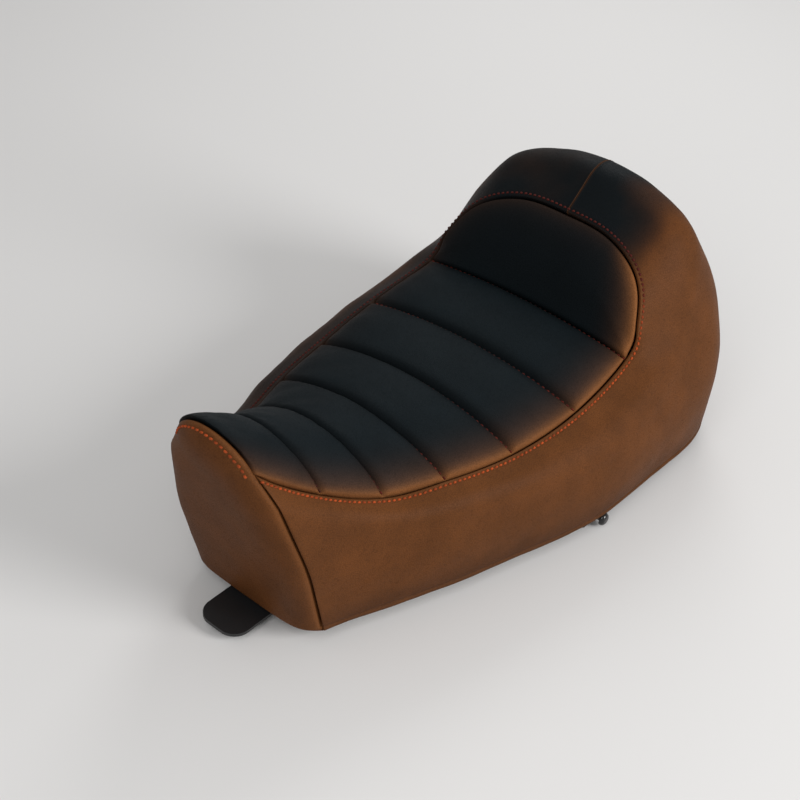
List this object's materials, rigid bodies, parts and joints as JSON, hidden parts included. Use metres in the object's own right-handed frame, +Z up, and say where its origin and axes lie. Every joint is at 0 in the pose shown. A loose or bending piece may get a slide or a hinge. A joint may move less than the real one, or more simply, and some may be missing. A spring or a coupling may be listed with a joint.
{
  "type": "motorcycle solo seat",
  "caption": "Padded solo seat with a sewn channelled top, raised rear bolster, leather skirt and ribbed moulded pan, hooked at the front and bolted at the rear",
  "frame": {"origin": "centre of the two rear bolt holes, on the lower face of the rear bracket", "axes": "X to the rear of the motorcycle, Y to the rider's right, Z up"},
  "size_m": [0.5708, 0.312, 0.2331],
  "materials": {
    "insert_leather": "satin dark charcoal brown leather",
    "skirt_leather": "satin saddle brown leather with fine grain",
    "moulded_plastic": "matt black moulded plastic",
    "black_steel": "satin black powder coat",
    "zinc_steel": "zinc-plated steel, dull bright",
    "rubber": "matt black rubber",
    "thread": "waxed red-orange sewing thread"
  },
  "bodies": {
    "root": {"channel_insert": "insert_leather", "back_panel": "insert_leather", "right_skirt": "skirt_leather", "left_skirt": "skirt_leather", "nose_panel": "skirt_leather", "seat_pan": "moulded_plastic", "rear_bracket": "black_steel", "front_tongue": "black_steel", "front_left_foot": "rubber", "front_right_foot": "rubber", "rear_left_foot": "rubber", "rear_right_foot": "rubber", "left_side_lug": "black_steel", "right_side_lug": "black_steel", "left_side_plug": "rubber", "right_side_plug": "rubber"}
  },
  "joints": []
}
